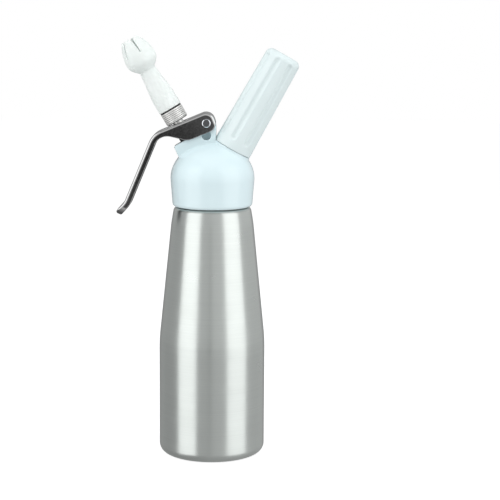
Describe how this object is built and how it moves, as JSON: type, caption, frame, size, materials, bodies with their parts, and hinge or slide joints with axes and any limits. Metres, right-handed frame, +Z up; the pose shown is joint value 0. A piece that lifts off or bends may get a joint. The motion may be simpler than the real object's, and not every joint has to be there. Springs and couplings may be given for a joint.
{
  "type": "whipped cream dispenser",
  "caption": "Whipped cream dispenser: tapered aluminium bottle, screwed dome head with squeeze lever, slanted star-tipped nozzle and slanted gas charger holder.",
  "frame": {"origin": "centre of the bottle's flat base, on the surface it stands on", "axes": "+Z up along the bottle; the lever and the nozzle lean to -X, the charger holder to +X; the part is symmetric about y = 0 apart from its pin's ends and the slots of the nozzle"},
  "size_m": [0.1359, 0.08, 0.3167],
  "materials": {
    "bottle_aluminium": "brushed round its axis",
    "head_enamel": "pale ice-blue satin enamel on cast aluminium",
    "holder_plastic": "pale ice-blue, moulded, satin",
    "nozzle_plastic": "white, slightly translucent",
    "lever_chrome": "polished",
    "turned_steel": "turned",
    "spring_steel": "drawn wire",
    "inlet_brass": "turned",
    "charger_steel": "galvanized",
    "black_plastic": "moulded",
    "black_rubber": "matt",
    "grey_silicone": "matt silicone"
  },
  "bodies": {
    "bottle": {"bottle": "bottle_aluminium"},
    "gasket": {"head_gasket": "grey_silicone"},
    "head": {"head_shell": "head_enamel", "intake_body": "inlet_brass", "check_valve_sleeve": "black_rubber", "piercing_pin": "turned_steel", "charger_seal": "black_rubber", "spring_washer": "turned_steel", "stem_o_ring": "black_rubber", "valve_spring": "spring_steel", "lever_pin": "lever_chrome", "pin_clip": "spring_steel"},
    "lever": {"lever": "lever_chrome"},
    "stem": {"valve_stem": "turned_steel", "valve_seal": "black_rubber", "stem_cap": "black_plastic", "nozzle_adapter": "turned_steel"},
    "nozzle_ring": {"nozzle_seal": "black_rubber"},
    "nozzle": {"tulip_nozzle": "nozzle_plastic"},
    "charger": {"gas_charger": "charger_steel"},
    "holder": {"charger_holder": "holder_plastic"}
  },
  "joints": [
    {"name": "head_rise", "type": "slide", "parent": "bottle", "child": "gasket", "axis": [0, 0, 1], "range_m": [0, 0.012]},
    {"name": "head_unscrew", "type": "hinge", "parent": "gasket", "child": "head", "pos_m": [0, 0, 0.2], "axis": [0, 0, 1], "range_deg": [0, 1440]},
    {"name": "lever_squeeze", "type": "hinge", "parent": "head", "child": "lever", "pos_m": [-0.0045, 0, 0.25211], "axis": [0, -1, 0], "range_deg": [0, 10], "stiffness_Nm_per_rad": 1, "springref_deg": -19.48},
    {"name": "stem_press", "type": "slide", "parent": "head", "child": "stem", "axis": [0.5105, 0, -0.8599], "range_m": [0, 0.00317], "deforming": ["valve_spring"]},
    {"name": "nozzle_rise", "type": "slide", "parent": "stem", "child": "nozzle_ring", "axis": [-0.5105, 0, 0.8599], "range_m": [0, 0.0075]},
    {"name": "nozzle_unscrew", "type": "hinge", "parent": "nozzle_ring", "child": "nozzle", "pos_m": [0, 0, 0.209], "axis": [-0.5105, 0, 0.8599], "range_deg": [0, 1800]},
    {"name": "charger_rise", "type": "slide", "parent": "head", "child": "charger", "axis": [0.4879, 0, 0.8729], "range_m": [0, 0.0125]},
    {"name": "holder_unscrew", "type": "hinge", "parent": "charger", "child": "holder", "pos_m": [0, 0, 0.2066], "axis": [0.4879, 0, 0.8729], "range_deg": [0, 1800]}
  ],
  "couplings": [
    {"joint": "head_rise", "follows": "head_unscrew", "m_per_rad": 0.00047746},
    {"joint": "stem_press", "follows": "lever_squeeze", "m_per_rad": 0.01814},
    {"joint": "nozzle_rise", "follows": "nozzle_unscrew", "m_per_rad": 0.00023873},
    {"joint": "charger_rise", "follows": "holder_unscrew", "m_per_rad": 0.00039788}
  ]
}
